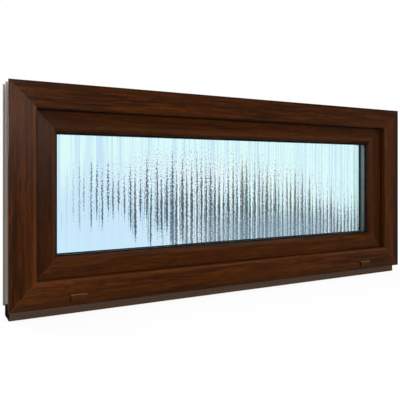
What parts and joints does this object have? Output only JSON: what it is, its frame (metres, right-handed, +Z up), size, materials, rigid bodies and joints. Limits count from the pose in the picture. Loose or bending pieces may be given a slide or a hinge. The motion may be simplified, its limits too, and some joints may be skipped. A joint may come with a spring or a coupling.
{
  "type": "fixed window",
  "caption": "Wide low fixed window: foiled uPVC outer frame with a fixed inner sash, patterned double glazing, drain caps and a base profile.",
  "frame": {"origin": "centre of the flat underside of the base profile, where the window stands on its sill", "axes": "+X along the window's width, -Y towards the outside, +Z up"},
  "size_m": [1.2, 0.105, 0.522],
  "materials": {
    "walnut_foiled_upvc": "walnut wood-grain foil outside, white body inside and on the wall side",
    "white_upvc": "smooth white",
    "black_rubber": "matt black",
    "black_sealant": "black polysulphide",
    "clear_glass": "clear float",
    "patterned_glass": "patterned with vertical streaks",
    "spacer_aluminium": "mill finish",
    "dark_brown_upvc": "satin dark brown",
    "brown_cap_plastic": "satin brown"
  },
  "bodies": {
    "root": {"frame_head": "walnut_foiled_upvc", "frame_bottom": "walnut_foiled_upvc", "frame_left": "walnut_foiled_upvc", "frame_right": "walnut_foiled_upvc", "sash_head": "walnut_foiled_upvc", "sash_bottom": "walnut_foiled_upvc", "sash_left": "walnut_foiled_upvc", "sash_right": "walnut_foiled_upvc", "leg_seal_head": "black_rubber", "leg_seal_bottom": "black_rubber", "leg_seal_left": "black_rubber", "leg_seal_right": "black_rubber", "overlap_seal_head": "black_rubber", "overlap_seal_bottom": "black_rubber", "overlap_seal_left": "black_rubber", "overlap_seal_right": "black_rubber", "outer_gasket_head": "black_rubber", "outer_gasket_bottom": "black_rubber", "outer_gasket_left": "black_rubber", "outer_gasket_right": "black_rubber", "inner_gasket_head": "black_rubber", "inner_gasket_bottom": "black_rubber", "inner_gasket_left": "black_rubber", "inner_gasket_right": "black_rubber", "glazing_bead_head": "white_upvc", "glazing_bead_bottom": "white_upvc", "glazing_bead_left": "white_upvc", "glazing_bead_right": "white_upvc", "spacer_bar_head": "spacer_aluminium", "spacer_bar_bottom": "spacer_aluminium", "spacer_bar_left": "spacer_aluminium", "spacer_bar_right": "spacer_aluminium", "edge_sealant_head": "black_sealant", "edge_sealant_bottom": "black_sealant", "edge_sealant_left": "black_sealant", "edge_sealant_right": "black_sealant", "outer_pane": "clear_glass", "inner_pane": "patterned_glass", "base_profile": "dark_brown_upvc", "drain_cap_left": "brown_cap_plastic", "drain_cap_right": "brown_cap_plastic"}
  },
  "joints": []
}
